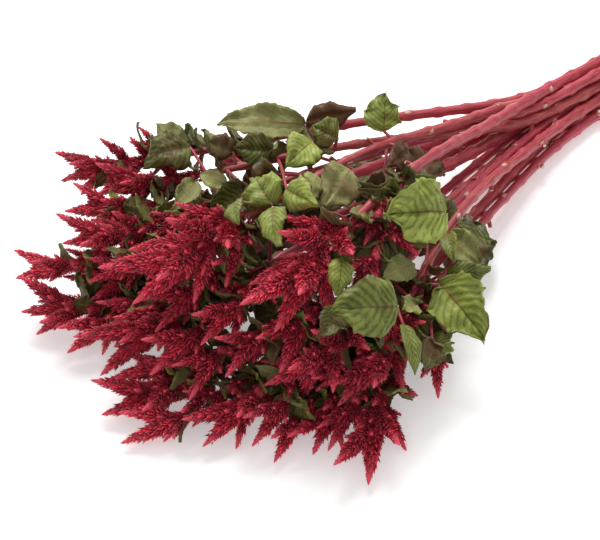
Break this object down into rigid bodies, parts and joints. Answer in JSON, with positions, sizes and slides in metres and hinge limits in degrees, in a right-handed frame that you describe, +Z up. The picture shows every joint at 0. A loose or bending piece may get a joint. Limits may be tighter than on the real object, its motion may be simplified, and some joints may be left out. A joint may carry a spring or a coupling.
{
  "type": "wheat celosia bunch",
  "caption": "Cut bunch of wheat celosia lying on its side: crimson feathery spikes at one end, leafy red stems held by a plain band.",
  "frame": {"origin": "middle of the bunch's bounding box, on the surface that it lies on", "axes": "+X runs along the stems towards their cut ends, +Y across the bunch, +Z up"},
  "size_m": [0.624, 0.3092, 0.1165],
  "materials": {
    "leafy_stem": "satin",
    "flower_head": "matte",
    "band": "matte"
  },
  "bodies": {
    "root": {"head_a": "flower_head", "head_a2": "flower_head", "head_b": "flower_head", "head_b2": "flower_head", "head_b3": "flower_head", "head_b4": "flower_head", "head_b5": "flower_head", "head_d": "flower_head", "head_d2": "flower_head", "head_e": "flower_head", "head_e2": "flower_head", "head_e3": "flower_head", "head_g": "flower_head", "head_g2": "flower_head", "head_g3": "flower_head", "head_g4": "flower_head", "head_g5": "flower_head", "head_g6": "flower_head", "head_h": "flower_head", "head_h2": "flower_head", "head_k": "flower_head", "head_k2": "flower_head", "head_k3": "flower_head", "head_n": "flower_head", "head_n2": "flower_head", "head_n3": "flower_head", "head_n4": "flower_head", "head_o": "flower_head", "head_o2": "flower_head", "head_o3": "flower_head", "head_q": "flower_head", "head_q2": "flower_head", "head_q3": "flower_head", "head_r": "flower_head", "head_r2": "flower_head", "head_r3": "flower_head", "head_s": "flower_head", "head_s2": "flower_head", "head_t": "flower_head", "head_t2": "flower_head", "head_t3": "flower_head", "head_t4": "flower_head", "head_x": "flower_head", "head_x2": "flower_head", "stem_a": "leafy_stem", "stem_b": "leafy_stem", "stem_d": "leafy_stem", "stem_e": "leafy_stem", "stem_g": "leafy_stem", "stem_h": "leafy_stem", "stem_k": "leafy_stem", "stem_n": "leafy_stem", "stem_o": "leafy_stem", "stem_q": "leafy_stem", "stem_r": "leafy_stem", "stem_s": "leafy_stem", "stem_t": "leafy_stem", "stem_x": "leafy_stem", "tie": "band"}
  },
  "joints": []
}
